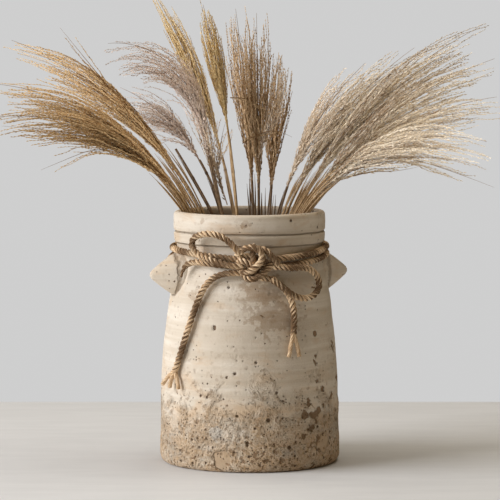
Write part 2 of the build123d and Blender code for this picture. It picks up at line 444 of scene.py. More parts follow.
def clayRelief(graph, place):
    # the same fields shape the mesh and colour it; place is a point on the vase in metres
    height = graph.part(place, 2)
    low = 1 - height.ramp(0.012, 0.135)
    bands = graph.noise(graph.stretch(place, (5, 5, 150)), 1.0, 3, 0.6)
    lumps = graph.noise(place, 16, 3, 0.5)
    patch = graph.noise(place, 34, 6, 0.74, 0.5) + low * 0.34
    smooth = spots(graph, place, clayMarks["smooth"])
    crust = patch.ramp(0.64, 0.90) * (1 - smooth)
    grain = graph.noise(place, 270, 4, 0.7, 0.3)
    chips = (graph.noise(place, 62, 4, 0.62, 0.7) + graph.part(place, 0) * 0.9 + low * 0.05)
    flake = chips.ramp(0.725, 0.745).most(spots(graph, place, clayMarks["flake"]))
    small, large = graph.cells(place, 330), graph.cells(place, 150)

    def holes(cells, radius, rare):
        pick = graph.part(cells["Color"], 0) + low * 0.34 + crust * 0.1
        return (1 - cells["Distance"].ramp(radius * 0.6, radius)) * pick.ramp(rare, rare + 0.02)

    pits = holes(small, 0.26, 0.90).most(holes(large, 0.24, 0.965))
    pits = pits.most(spots(graph, place, clayMarks["hole"]))
    wave = (graph.noise(place, 30, 2) - 0.5) * 0.0016
    # the scored lines and the lug creases: darkened in the colour as painted shade, dented in the bump
    upper, lower = vaseSizes["grooves"]
    line = (height + wave - upper).math("ABSOLUTE").least(
        (height + wave * 0.6 - lower).math("ABSOLUTE"))
    groove = (1 - line.ramp(0.0002, 0.0011)).most(lugCreaseShade(graph, place))
    return {"low": low, "crust": crust, "pits": pits, "bands": bands, "lumps": lumps,
            "grain": grain, "flake": flake, "groove": groove}


def limewash(graph):
    place = graph.add("ShaderNodeTexCoord")["Object"]
    relief = clayRelief(graph, place)
    low, crust, grain = relief["low"], relief["crust"], relief["grain"]
    chalk = graph.mix(relief["bands"].ramp(0.3, 0.72), (0.64, 0.55, 0.43), (0.78, 0.70, 0.585))
    cloudy = graph.mix(relief["lumps"].ramp(0.40, 0.68) * 0.5, chalk, (0.59, 0.50, 0.385))
    warmth = graph.noise(graph.stretch(place, (1, 1, 2.2)), 30, 4, 0.62, 0.4)
    stained = graph.mix(warmth.ramp(0.50, 0.72) * 0.45, cloudy, (0.60, 0.42, 0.25))
    # the darker brown patches listed above, deeper where the warm tone is stronger
    stain = spots(graph, place, clayMarks["stain"]) * (warmth.ramp(0.3, 0.7) * 0.42 + 0.26)
    marked = graph.mix(stain, stained, (0.36, 0.24, 0.14))
    fine = graph.noise(place, 560, 3, 0.75)
    grit = graph.mix(fine.ramp(0.36, 0.54), (0.36, 0.215, 0.105), (0.97, 0.84, 0.66))
    tan = graph.mix(grain.ramp(0.38, 0.54) * 0.8, (0.64, 0.435, 0.25), grit)
    chunk = graph.part(graph.cells(place, 380)["Color"], 0)
    gritty = graph.mix(crust * 0.92, marked, tan)
    gritty = graph.mix(low * warmth.ramp(0.35, 0.62) * 0.55, gritty, (0.69, 0.465, 0.265))
    frosted = graph.mix(spots(graph, place, clayMarks["frost"]) * 0.6, gritty, (0.74, 0.68, 0.59))
    smoothed = graph.mix(spots(graph, place, clayMarks["smooth"]) * 0.8, frosted,
                         (0.52, 0.37, 0.23))
    chipped = graph.mix(relief["flake"] * 0.9, smoothed, (0.25, 0.15, 0.072))
    dark = ((1 - fine.ramp(0.28, 0.38)).most(chunk.ramp(0.86, 0.88) * low) * (crust * 0.85 + 0.1)
            ).most(chunk.ramp(0.955, 0.965) * (low * 0.8 + 0.15))
    specked = graph.mix(dark * 0.75, chipped, (0.25, 0.14, 0.065))
    pitted = graph.mix(relief["pits"] * 0.84, specked, (0.135, 0.072, 0.032))
    # painted shade in the scored grooves and the lug creases, partly bare clay in the creases
    groovesShaded = graph.mix(relief["groove"] * 0.6, pitted, (0.20, 0.135, 0.08))
    # the whole inside of the vase darkened towards brown: painted shade in the hollow
    colour = graph.mix(graph.attribute("inside") * 0.62, groovesShaded, (0.15, 0.10, 0.06))
    rough = graph.noise(place, 190, 5, 0.72, 0.8)
    relieved = (fine * (crust * 0.9 + 0.16) + rough * (crust * 1.5 + 0.22)
                + relief["bands"] * 0.25 + grain * (crust * 0.8 + 0.1) - relief["pits"] * 1.1
                - relief["flake"] * 0.8 - dark * 0.3 - relief["groove"] * 0.6)
    return {
        "Base Color": colour,
        "Roughness": grain.ramp(0.2, 0.8) * 0.16 + 0.8,
        "Normal": bump(graph, relieved, 0.0019, 1.0),
    }


clay = newMaterial("limewashed_clay", limewash, Specular_IOR_Level=0.25)


def vaseProfile():
    # (radius, height, 1 on the outside, 1 on the inside) in metres, from the centre of the base up
    # the outside, over the lip and down the inside to the centre of the floor
    sizes = vaseSizes
    neckRadius, neckTop, mouthRadius = (
        sizes[key] for key in ("neckRadius", "neckTop", "mouthRadius"))
    body = [(0, 88.2), (6, 88.5), (38, 88.6), (84, 88.0), (117, 85.8), (143, 82.5), (166, 79.4),
            (185, 75.6), (198, 72.4), (203, neckRadius), (neckTop, neckRadius)]
    heights = [h for h, r in body]
    radii = [r for h, r in body]

    def outside(h):
        # a smooth curve through the body's points, then the collar with its two grooves
        if h < neckTop:
            i = max(k for k in range(len(body)) if heights[k] <= h or k == 0)
            i = min(i, len(body) - 2)
            t = (h - heights[i]) / (heights[i + 1] - heights[i])
            slopes = []
            for k in (i, i + 1):
                a, b = max(k - 1, 0), min(k + 1, len(body) - 1)
                slopes.append((radii[b] - radii[a]) / (heights[b] - heights[a]))
            step = heights[i + 1] - heights[i]
            return (
                (2 * t**3 - 3 * t**2 + 1) * radii[i] + (t**3 - 2 * t**2 + t) * slopes[0] * step
                + (3 * t**2 - 2 * t**3) * radii[i + 1] + (t**3 - t**2) * slopes[1] * step
            )
        rise = min(1, (h - neckTop) / 3.4)
        swell = sizes["collarRadius"] - 0.6 * ((h - 238) / 14) ** 2
        groove = 1.5 * math.exp(-(((h - 230.2) / 1.15) ** 2))
        return neckRadius + (swell - neckRadius) * rise * (2 - rise) - groove

    rows = [(0.0, 0.6, 0, 0)] + [(r, 0.0, 0, 0) for r in (14, 36, 58, 74, 81)]
    foot, top, floorHeight = sizes["foot"], sizes["lipStart"], sizes["floorHeight"]
    for i in range(7):                                   # rounded bottom edge
        a = math.radians(90 * i / 6)
        rows.append((83.3 + foot * math.sin(a), foot * (1 - math.cos(a)), 1, 0))
    for i in range(1, sizes["wallRows"] + 1):
        h = foot + (top - foot) * i / sizes["wallRows"]
        rows.append((outside(h), h, 1, 0))
    outerLip = outside(top)
    middle, half = (outerLip + mouthRadius) / 2, (outerLip - mouthRadius) / 2
    for i in range(1, sizes["lipRows"] + 1):             # rolled lip
        a = math.pi * i / sizes["lipRows"]
        share = i / sizes["lipRows"]
        rows.append((middle + half * math.cos(a), top + sizes["lipRise"] * math.sin(a), 1 - share,
                     0.3 * share))
    inner = [(top, mouthRadius), (225, 67.4), (217, 65.0), (200, 65.0), (166, 71.8), (117, 78.2),
             (70, 81.0), (18, 81.0), (12.5, 78.5), (10.2, 73)]
    steps = [3, 3, 3, 5, 6, 5, 5, 2, 2]
    for (h0, r0), (h1, r1), count in zip(inner, inner[1:], steps):
        for i in range(1, count + 1):
            t = i / count
            rows.append((r0 + (r1 - r0) * t, h0 + (h1 - h0) * t, 0, 1))
    rows += [(r, floorHeight, 0, 1) for r in (60, 40, 20, 0.0)]
    return [(r * mm, h * mm, out, into) for r, h, out, into in rows]


def geometryTree(name, inputs):
    # a tree with a geometry in and out, and named number inputs; gives graph, inputs, finisher
    tree = bpy.data.node_groups.new(name, "GeometryNodeTree")
    tree.interface.new_socket("Geometry", in_out="INPUT", socket_type="NodeSocketGeometry")
    tree.interface.new_socket("Geometry", in_out="OUTPUT", socket_type="NodeSocketGeometry")
    for label, value in inputs.items():
        kind = "NodeSocketInt" if isinstance(value, int) else "NodeSocketFloat"
        tree.interface.new_socket(label, in_out="INPUT", socket_type=kind).default_value = value
    tree.interface.new_socket("Material", in_out="INPUT", socket_type="NodeSocketMaterial")
    graph = Graph(tree)
    entry = graph.add("NodeGroupInput")

    def finish(geometry):
        whole = graph.add("GeometryNodeRealizeInstances", None, {0: geometry})[0]
        whole = graph.add("GeometryNodeSetMaterial", None,
                          {0: whole, "Material": entry["Material"]})[0]
        graph.add("NodeGroupOutput", None, {0: whole})

    return graph, entry, finish


def useTree(obj, tree, values):
    # inputs are set by identifier before the object is first evaluated
    modifier = obj.modifiers.new(tree.name, "NODES")
    modifier.node_group = tree
    for item in tree.interface.items_tree:
        if item.item_type == "SOCKET" and item.in_out == "INPUT" and item.name in values:
            modifier[item.identifier] = values[item.name]
    return evaluated(obj)


def throwVase():
    sizes = vaseSizes
    rows = vaseProfile()
    profile = bpy.data.meshes.new("vase_profile")
    profile.from_pydata([(r, 0, h) for r, h, out, into in rows], [], [])
    for name, column in (("outside", 2), ("inside", 3)):
        layer = profile.attributes.new(name, "FLOAT", "POINT")
        layer.data.foreach_set("value", [float(row[column]) for row in rows])
    graph, entry, finish = geometryTree("thrown_vase", {
        "Columns": sizes["columns"], "Rows": len(rows), "Band Lift": sizes["bandLift"],
        "Lump Lift": sizes["lumpLift"], "Crust Lift": sizes["crustLift"],
        "Pit Depth": sizes["pitDepth"],
    })
    across = entry["Columns"] + 1
    sheet = graph.add("GeometryNodeMeshGrid", None, {
        "Size X": 1.0, "Size Y": 1.0, "Vertices X": across, "Vertices Y": entry["Rows"]})
    index = graph.add("GeometryNodeInputIndex")[0]
    # the grid's points run along Y first
    row = index.math("MODULO", entry["Rows"])
    column = (index / entry["Rows"]).math("FLOOR")
    around = column / entry["Columns"] * (2 * math.pi)
    swing = {"x": around.math("COSINE"), "y": around.math("SINE")}

    def sampled(value, kind):
        node = graph.add("GeometryNodeSampleIndex", {"data_type": kind, "domain": "POINT"},
                         {"Geometry": entry["Geometry"], "Value": value, "Index": row})
        return node[0]

    point = sampled(graph.place(), "FLOAT_VECTOR")
    outside, inside = (sampled(graph.named(name), "FLOAT") for name in ("outside", "inside"))
    radius, height = graph.part(point, 0), graph.part(point, 2)
    thrown = graph.point(radius * swing["x"], radius * swing["y"], height)
    relief = clayRelief(graph, thrown)
    # slightly out of round, and leaning a little from band to band
    uneven = (graph.noise(thrown, 7, 1) - 0.5) * 0.0022 * height.ramp(0.0, 0.05)
    lift = (
        (relief["bands"] - 0.5) * entry["Band Lift"] * 2
        + (relief["lumps"] - 0.5) * entry["Lump Lift"] * 2
        + relief["crust"] * relief["grain"] * entry["Crust Lift"]
        - relief["flake"] * 0.0005
        - relief["pits"] * entry["Pit Depth"]
    ) * outside * height.ramp(0.0, 0.008)
    reach = radius + (lift + uneven * radius.ramp(0.0, 0.06)).most(-0.003)
    rim = (graph.noise(thrown, 11, 1) - 0.5) * 0.0016 * height.ramp(0.2, 0.25)
    placed = graph.point(reach * swing["x"], reach * swing["y"], height + rim)
    shaped = graph.moved(sheet[0], Position=placed)
    marked = graph.store(shaped, "inside", inside)
    closed = graph.add("GeometryNodeMergeByDistance", None, {0: marked, "Distance": 0.00004})[0]
    finish(graph.smoothed(closed))
    return useTree(link("vase_body_thrown", profile), graph.tree, {"Material": clay})


def turnOutwards(obj):
    work = bmesh.new()
    work.from_mesh(obj.data)
    bmesh.ops.dissolve_degenerate(work, dist=1e-7, edges=work.edges)
    bmesh.ops.recalc_face_normals(work, faces=work.faces)
    work.to_mesh(obj.data)
    work.free()


vase = throwVase()
turnOutwards(vase)
fit(vase, "vase", "vase_body", "vase_clay")
print("vase thrown", len(vase.data.polygons), "faces")


def pinchLug(name, azimuth, columns=56, between=4):
    sections = lugSizes["sections"]
    rows = []
    for (a, b) in zip(sections, sections[1:]):
        rows += [[x + (y - x) * i / between for x, y in zip(a, b)] for i in range(between)]
    rows.append(list(sections[-1]))
    for _ in range(2):                                   # take the corners out of the outline
        rows = [rows[0]] + [
            [(p + 2 * q + r) / 4 for p, q, r in zip(*three)]
            for three in zip(rows, rows[1:], rows[2:])
        ] + [rows[-1]]
    turn = math.radians(azimuth)
    out = Vector((math.cos(turn), math.sin(turn), 0))
    side = Vector((-math.sin(turn), math.cos(turn), 0))
    points, faces = [], []
    for reach, width, height in rows:
        for i in range(columns):
            a = 2 * math.pi * i / columns
            at = out * reach + side * width * math.cos(a)
            points.append((at + Vector((0, 0, lugSizes["height"] + height * math.sin(a)))) * mm)
    last = len(rows) - 1
    for r in range(last):
        for i in range(columns):
            j = (i + 1) % columns
            low, high = r * columns, (r + 1) * columns
            faces.append((low + i, low + j, high + j, high + i))
    points.append((out * (sections[-1][0] + 0.7) + Vector((0, 0, lugSizes["height"]))) * mm)
    points.append((out * sections[0][0] + Vector((0, 0, lugSizes["height"]))) * mm)
    tip, root = len(points) - 2, len(points) - 1
    for i in range(columns):
        j = (i + 1) % columns
        faces.append((last * columns + i, last * columns + j, tip))
        faces.append((j, i, root))
    mesh = bpy.data.meshes.new(name)
    mesh.from_pydata(points, [], faces)
    mesh.materials.append(clay)
    lug = link(name, mesh)
    turnOutwards(lug)
    mesh.shade_smooth()
    return lug


for node, azimuth in lugTurns.items():
    fit(pinchLug(node + "_pinched", azimuth), "vase", node, "vase_clay")


twineSizes = {
    "diameter": 0.0065,
    "plyOffset": 0.00180,
    "plyRadius": 0.00150,
    "pitch": 0.0165,            # one full turn of a ply
    "step": 0.00095,
    "hairs": 130000.0,          # loose fibres to a square metre of ply
}


def juteFibre(graph):
    lay = graph.attribute("fibre", "Vector")
    strand = graph.noise(graph.stretch(lay, (1900, 1900, 90)), 1.0, 3, 0.6, 0.4)
    thick = graph.noise(graph.stretch(lay, (500, 500, 30)), 1.0, 2)
    loose = graph.attribute("loose")
    plyGapShade = graph.attribute("plyGapShade")
    tan = graph.mix(strand.ramp(0.34, 0.64), (0.36, 0.20, 0.09), (1.0, 0.79, 0.53))
    patchy = graph.mix(thick.ramp(0.45, 0.7) * 0.4, tan, (0.60, 0.37, 0.185))
    # painted shade in the valleys between the plies
    gapShaded = graph.mix(plyGapShade * 0.86, patchy, (0.10, 0.048, 0.018))
    return {
        "Base Color": graph.mix(loose, gapShaded, (0.95, 0.74, 0.49)),
        "Normal": bump(graph, strand * (1 - loose), 0.0006, 0.9),
    }


jute = newMaterial("jute", juteFibre, Roughness=0.85, Specular_IOR_Level=0.2)


def needle(graph, length, radius, bend, segments=1, sides=3):
    # a thin pointed hair standing on the origin and leaning as it rises
    cone = graph.add("GeometryNodeMeshCone", {"fill_type": "NONE"}, {
        "Vertices": sides, "Side Segments": segments, "Radius Top": 0.00001,
        "Radius Bottom": radius, "Depth": length})[0]
    rise = graph.part(graph.place(), 2)
    return graph.moved(cone, Offset=graph.point(rise * rise * bend))


def chance(graph, low, high, seed):
    return graph.add("FunctionNodeRandomValue", {"data_type": "FLOAT"},
                     {"Min": low, "Max": high, "Seed": seed})["Value"]


def scaled(graph, vector, by):
    return graph.add("ShaderNodeVectorMath", {"operation": "SCALE"}, {0: vector, "Scale": by})[0]


def summed(graph, *vectors):
    total = vectors[0]
    for other in vectors[1:]:
        total = graph.vectors("ADD", total, other)[0]
    return total


def sideways(graph, tangent, normal, angle):
    # the direction at that angle round a curve
    other = graph.vectors("CROSS_PRODUCT", tangent, normal)[0]
    return summed(graph, scaled(graph, normal, angle.math("COSINE")),
                  scaled(graph, other, angle.math("SINE")))


def twineTree(plies):
    graph, entry, finish = geometryTree("laid_twine_%d" % plies, {
        "Ply Offset": twineSizes["plyOffset"] if plies > 1 else 0.0,
        "Ply Radius": twineSizes["plyRadius"], "Pitch": twineSizes["pitch"],
        "Step": twineSizes["step"], "Hairs": twineSizes["hairs"], "Taper": 0.0, "Seed": 3,
    })
    tau = 2 * math.pi
    line = graph.add("GeometryNodeResampleCurve", {"mode": "LENGTH"},
                     {"Curve": entry["Geometry"], "Length": entry["Step"]})[0]
    length = graph.spline("Length")
    tangent = graph.add("GeometryNodeInputTangent")[0]
    normal = graph.add("GeometryNodeInputNormal")[0]
    place = graph.place()
    slim = 1 - entry["Taper"] * graph.spline().ramp(0.78, 1.0)
    meshes = []
    for ply in range(plies):
        angle = length / entry["Pitch"] * tau + ply * tau / plies
        wander = (graph.noise(place, 120 + 17 * ply, 1) - 0.5) * 0.7
        away = sideways(graph, tangent, normal, angle + wander)
        moved = graph.moved(line, Offset=scaled(graph, away, entry["Ply Offset"] * slim))
        # fibres turn the other way round each ply
        marked = graph.store(moved, "turned", length * (-260) + ply * 2.1)
        marked = graph.store(marked, "run", length + ply * 0.37)
        marked = graph.store(marked, "inward", scaled(graph, away, -1.0), "FLOAT_VECTOR")
        marked = graph.store(marked, "heading", tangent, "FLOAT_VECTOR")
        fat = graph.noise(place, 160 + 31 * ply, 2)
        ring = graph.store(graph.circle(10), "round", graph.spline() * tau)
        swollen = graph.add("GeometryNodeSetCurveRadius", None, {
            0: marked, "Radius": entry["Ply Radius"] * slim * (fat * 0.34 + 0.84)})[0]
        meshes.append(graph.tube(swollen, ring, graph.add("GeometryNodeInputRadius")[0]))
    body = graph.joined(*meshes)
    spun = graph.named("round") + graph.named("turned")
    cross = twineSizes["plyRadius"]
    lay = graph.point(spun.math("COSINE") * cross, spun.math("SINE") * cross, graph.named("run"))
    body = graph.store(body, "fibre", lay, "FLOAT_VECTOR")
    # where a ply's surface faces the other plies, painted shade between the plies
    facing = graph.add("GeometryNodeInputNormal")[0]
    dip = graph.vectors("DOT_PRODUCT", facing, graph.named("inward", "FLOAT_VECTOR"))["Value"]
    body = graph.store(body, "plyGapShade", dip.ramp(-0.62, 0.2) if plies > 1 else dip * 0)
    body = graph.store(body, "loose", dip * 0)
    ridge = graph.noise(graph.stretch(lay, (1500, 1500, 110)), 1.0, 2)
    body = graph.moved(body, Offset=scaled(graph, facing, (ridge - 0.5) * 0.0006))
    body = graph.smoothed(body)
    strewn = graph.add("GeometryNodeDistributePointsOnFaces", {"distribute_method": "RANDOM"},
                       {"Mesh": body, "Density": entry["Hairs"], "Seed": entry["Seed"]})
    seeds = iter(range(40, 80))
    scatter = graph.add("FunctionNodeRandomValue", {"data_type": "FLOAT_VECTOR"}, {
        "Min": (-0.3, -0.3, -0.3), "Max": (0.3, 0.3, 0.3), "Seed": next(seeds)})["Value"]
    sense = chance(graph, -1, 1, next(seeds)).math("SIGN")
    heading = summed(graph, scaled(graph, graph.named("heading", "FLOAT_VECTOR"), sense * 0.75),
                     scaled(graph, strewn["Normal"], 0.3), scatter)
    aimed = graph.add("FunctionNodeAlignRotationToVector", {"axis": "Z"},
                      {"Factor": 1.0, "Vector": heading})[0]
    hair = needle(graph, 0.0035, 0.00013, 60.0, 2)
    hair = graph.store(hair, "loose", 1.0)
    size = chance(graph, 0, 1, next(seeds))
    hairs = graph.onPoints(strewn["Points"], hair, Rotation=aimed,
                           Scale=size * size * 0.75 + 0.25)
    finish(graph.joined(body, hairs))
    return graph.tree


twineTrees = {3: twineTree(3), 1: twineTree(1)}


def strand(name, routes, plies=3, **settings):
    # routes are lists of control points in metres; gives the laid mesh and the first centreline
    data = bpy.data.curves.new(name + "_route", "CURVE")
    data.dimensions = "3D"
    data.resolution_u = 12
    for route in routes:
        spline = data.splines.new("NURBS")
        spline.points.add(len(route) - 1)
        for point, place in zip(spline.points, route):
            point.co = (*place, 1)
        spline.order_u = 3
        spline.use_endpoint_u = True
    curve = link(name, data)
    bare = bpy.data.meshes.new_from_object(curve)
    path = [tuple(v.co) for v in bare.vertices]
    values = {"Ply Offset": twineSizes["plyOffset"] if plies > 1 else 0.0, "Material": jute}
    values.update(settings)
    return useTree(curve, twineTrees[plies], values), path


def around(turns):
    # wraps are given by azimuth, radius and height
    return [(r * math.cos(math.radians(a)), r * math.sin(math.radians(a)), h) for a, r, h in turns]


twineRuns = {
    "twine_wrap_upper": {"length": 0.4525, "route": around([
        (265.5, 76.4, 207.0), (248, 78.0, 208.5), (226, 78.0, 210.8), (202, 78.0, 212.6),
        (178, 78.0, 213.6), (154, 78.0, 213.4), (130, 78.0, 213.8), (106, 78.0, 213.2),
        (82, 78.0, 213.7), (58, 78.0, 214.3), (34, 78.0, 215.4), (10, 78.0, 215.5),
        (-14, 78.0, 213.8), (-38, 78.0, 210.6), (-58, 78.0, 208.4), (-73.0, 76.8, 207.0)])},
    "twine_wrap_lower": {"length": 0.3444, "route": around([
        (181.5, 81.6, 194.5), (176, 80.4, 199.6), (168, 78.8, 203.8), (156, 78.2, 206.0),
        (134, 78.0, 206.4), (110, 78.0, 205.9), (86, 78.0, 206.5), (62, 78.0, 207.0),
        (38, 78.0, 208.8), (14, 78.0, 209.0), (-10, 78.0, 206.9), (-34, 78.2, 203.4),
        (-56, 78.4, 201.2), (-73.0, 77.2, 200.0)])},
    "twine_wrap_left": {"length": 0.0766, "route": around([
        (265.5, 76.6, 200.2), (250, 78.4, 201.0), (236, 78.4, 203.2), (226, 78.8, 203.4),
        (219.5, 80.6, 199.6), (217.2, 82.2, 194.0), (216.6, 83.4, 187.5)]),
        "settings": {"Taper": 0.62}},
    "bow_loop_left": {"length": 0.1288, "lay": "loose", "route": [
        (-6.4, -86.0, 202.5), (-14.5, -86.6, 201.4), (-25.5, -84.2, 203.4), (-37.5, -78.0, 206.4),
        (-47.5, -71.8, 209.6), (-54.5, -65.5, 215.6), (-56.6, -62.5, 222.6), (-53.0, -65.8, 228.8),
        (-45.0, -72.4, 231.6), (-36.0, -77.0, 232.4), (-26.5, -81.2, 229.6), (-17.5, -84.6, 223.0),
        (-12.0, -86.2, 217.0), (-7.4, -86.4, 212.6)]},
    "bow_loop_right": {"length": 0.1272, "lay": "loose", "route": [
        (22.2, -86.2, 202.0), (31.5, -84.5, 200.0), (43.0, -79.6, 199.0), (54.0, -72.6, 199.2),
        (62.5, -66.0, 194.8), (67.4, -62.0, 187.0), (68.0, -62.0, 178.6), (63.4, -66.0, 171.6),
        (55.0, -72.2, 168.6), (45.8, -78.4, 170.4), (37.2, -82.6, 176.4), (29.0, -84.8, 184.0),
        (21.6, -86.4, 189.6)]},
    "twine_tail_left": {"length": 0.1360, "lay": "hanging", "far_end": "bare", "route": [
        (-5.8, -80.0, 194.6), (-13.0, -79.6, 194.7), (-21.5, -77.8, 194.0), (-30.8, -74.4, 191.4),
        (-38.8, -70.0, 186.2), (-45.6, -69.2, 176.8), (-50.6, -68.0, 165.2), (-55.6, -65.8, 151.4),
        (-60.2, -64.4, 137.2), (-64.6, -62.4, 122.6), (-69.2, -58.8, 107.6), (-73.4, -54.2, 95.0)]},
    "twine_tail_right": {"length": 0.0751, "lay": "hanging", "far_end": "bare", "route": [
        (9.0, -80.4, 190.2), (16.5, -79.4, 189.6), (24.8, -77.4, 186.2), (33.0, -75.4, 179.6),
        (39.4, -74.4, 171.0), (42.6, -74.6, 160.8), (43.6, -75.6, 148.6), (42.6, -77.8, 134.6)]},
}
looseEnds = {
    "twine_tail_left": ("twine_end_left", [
        [(-73.0, -54.8, 96.4), (-76.6, -50.6, 93.0), (-81.4, -44.6, 87.6), (-85.6, -37.0, 80.6)],
        [(-73.6, -54.4, 95.6), (-75.2, -53.0, 91.4), (-77.2, -51.4, 86.4), (-78.2, -50.2, 79.0)],
        [(-72.8, -54.8, 96.0), (-72.0, -56.2, 92.0), (-70.2, -59.0, 86.4), (-69.4, -60.6, 78.6)]]),
    "twine_tail_right": ("twine_end_right", [
        [(42.4, -77.8, 136.0), (41.6, -78.4, 131.6), (40.0, -79.8, 123.0), (38.0, -81.4, 112.6)],
        [(42.9, -77.6, 136.0), (44.0, -77.4, 131.2), (46.4, -77.2, 123.0), (48.4, -77.4, 112.8)]]),
}
knotStrands = [
    [(-12, -81, 212), (-8, -87, 217.5), (1, -90, 220.6), (9.5, -91, 217.8), (13.5, -92, 210.5),
     (8, -93, 202.5), (0, -91, 196.5), (-7, -85, 194.5)],
    [(3, -81, 217), (10, -86, 219), (17.5, -88, 216), (23, -88, 209.5), (28, -85.5, 202.5)],
    [(-7, -81, 197), (-5, -87, 190.5), (2, -90, 188.4), (9.5, -90, 192), (16, -88.5, 197.5),
     (22, -85, 203)],
    [(-11, -83, 207), (-4, -88, 206.6), (1, -89, 203), (6, -88, 198), (9, -82, 192)],
    [(-8, -80, 211), (4, -84.5, 211), (13, -85, 207), (20, -81, 203)],
    [(-4, -79, 200), (8, -84, 199.5), (16, -84, 202), (24, -81, 206)],
    [(2, -82, 190), (4, -88, 196), (4.5, -90, 205), (3, -86.5, 214), (5, -80, 221)],
]


def metres(route):
    return [tuple(x * mm for x in point) for point in route]


for node, run in twineRuns.items():
    route = metres(run["route"])
    rope, path = strand(node + "_laid", [route], **run.get("settings", {}))
    fit(rope, "vase", node, "jute_twine")
    ends = ()
    if node in looseEnds:
        endNode, plies = looseEnds[node]
        frayed, _ = strand(endNode + "_frayed", [metres(ply) for ply in plies], plies=1,
                           **{"Ply Radius": 0.0019, "Hairs": 420000.0})
        fit(frayed, "vase", endNode, "jute_twine")
        ends = (frayed,)
    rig.cord(rope, exit=path[0], length=run["length"], diameter=twineSizes["diameter"],
            far_end=run.get("far_end", "object"), stiffness="medium",
            lay=run.get("lay", "taut"), path=path, with_pieces=ends)

knot, _ = strand("bow_knot_tied", [metres(route) for route in knotStrands])
fit(knot, "vase", "bow_knot", "jute_twine")
print("twine laid")


mouthHeight = 250.0
footHeight = 12.0
# foot x and y, direction, reach and lean at the mouth, length above it, lean at the tip, length of
# the plume, and its kind
grasses = {
    "grass_left_high": (-10, 23, 163, 44, 28, 268, 72, 190, "golden"),
    "grass_left_middle": (-12, 17, 179, 49, 30, 238, 84, 180, "golden"),
    "grass_left_low": (-11, 11, 195, 52, 32, 226, 96, 165, "golden"),
    "bare_stem_left": (-7, 28, 152, 38, 32, 70, 36, 0, None),
    "grass_arching": (-7, 5, 214, 25, 15, 235, 95, 128, "rosy"),
    "grass_left_back": (-5, 33, 147, 30, 20, 178, 72, 125, "rosy"),
    "grass_golden": (-2, 38, 134, 21, 15, 244, 42, 190, "upright"),
    "grass_tall": (-4, -1, 236, 15, 8, 212, 24, 135, "upright"),
    "grass_centre_back": (8, 36, 115, 10, 6, 205, 18, 165, "brown"),
    "grass_centre_front": (10, 1, 262, 5, 3, 196, 7, 165, "brown"),
    "grass_centre_right": (17, 36, 70, 12, 7, 155, 16, 130, "brown"),
    "grass_right_front": (17, 4, 318, 18, 19, 186, 54, 160, "grey"),
    "grass_right_back": (19, 29, 36, 26, 29, 232, 62, 185, "pale"),
    "grass_right_high": (21, 24.5, 20, 30, 30, 272, 65, 215, "pale"),
    "grass_right_middle": (23, 16.8, 4, 31, 33, 248, 71, 195, "pale"),
    "grass_right_low": (23, 10, 348, 35, 36, 226, 82, 170, "pale"),
    "grass_right_lowest": (22, 6, 332, 38, 37, 218, 102, 150, "pale"),
    "bare_stem_right_back": (24, 20.8, 12, 32, 36, 105, 48, 0, None),
    "bare_stem_right_front": (24.5, 13.4, 356, 36, 38, 108, 50, 0, None),
}
# how each kind of plume is built up, in metres and degrees, where it differs from plumeTree
plumeKinds = {
    "golden": {"Racemes": 100, "Spread": 0.0150, "Droop": 0.010, "Spacing": 0.0034,
               "Spikelet": 0.0054, "Hair": 0.0052, "Hair Spacing": 0.0026, "Open": 13.0,
               "Thread": 0.00042, "Close": 0.62, "Widest": 0.86},
    "upright": {"Racemes": 100, "Spread": 0.0088, "Flare": 0.002, "Reach": 0.60,
                "Spikelet": 0.0046, "Hair": 0.0042, "Hair Spacing": 0.0024, "Open": 9.0,
                "Thread": 0.00034, "Close": 0.72},
    "brown": {"Racemes": 80, "Spread": 0.0125, "Flare": 0.005, "Reach": 0.58, "Hair": 0.0046,
              "Hair Spacing": 0.0028, "Open": 15.0, "Thread": 0.00040, "Close": 0.55,
              "Widest": 0.7},
    "rosy": {"Racemes": 72, "Spread": 0.0120, "Flare": 0.010, "Droop": 0.016, "Hair": 0.0070,
             "Hair Spacing": 0.0013},
    "grey": {"Racemes": 48, "Spread": 0.0095, "Flare": 0.010, "Droop": 0.008, "Hair": 0.0066},
    "pale": {"Racemes": 84, "Spread": 0.0155, "Flare": 0.006, "Droop": 0.010, "Spacing": 0.0034,
             "Spikelet": 0.0054, "Hair": 0.0078, "Hair Spacing": 0.0015, "Open": 17.0,
             "Thread": 0.00042, "Close": 0.45, "Widest": 0.66},
}
# thread, spikelet and silk colours
plumeColours = {
    "golden": ((0.22, 0.110, 0.034), (0.76, 0.54, 0.285), (0.94, 0.77, 0.52)),
    "upright": ((0.38, 0.22, 0.075), (0.78, 0.59, 0.30), (0.92, 0.78, 0.52)),
    "brown": ((0.24, 0.140, 0.062), (0.66, 0.470, 0.275), (0.86, 0.70, 0.48)),
    "rosy": ((0.36, 0.250, 0.190), (0.84, 0.690, 0.580), (0.98, 0.91, 0.83)),
    "grey": ((0.34, 0.230, 0.145), (0.86, 0.710, 0.535), (0.99, 0.91, 0.77)),
    "pale": ((0.36, 0.235, 0.135), (0.99, 0.86, 0.665), (1.00, 0.95, 0.84)),
}


def plumePaint(colours):
    dark, middle, silk = colours

    def paint(graph):
        shade = graph.attribute("shade").ramp(0.3, 0.62)
        tip = graph.attribute("tip")
        fine = graph.attribute("silk")
        base = graph.mix(shade, dark, middle)
        body = graph.mix(tip.ramp(0.15, 0.9) * 0.45, base, middle)
        lit = graph.mix(shade, [v * 0.7 for v in silk], silk)
        return {"Base Color": graph.mix(fine, body, lit)}

    return paint


plumeMaterials = {
    kind: newMaterial("plume_" + kind, plumePaint(colours), Roughness=0.75,
                      Specular_IOR_Level=0.25)
    for kind, colours in plumeColours.items()
}


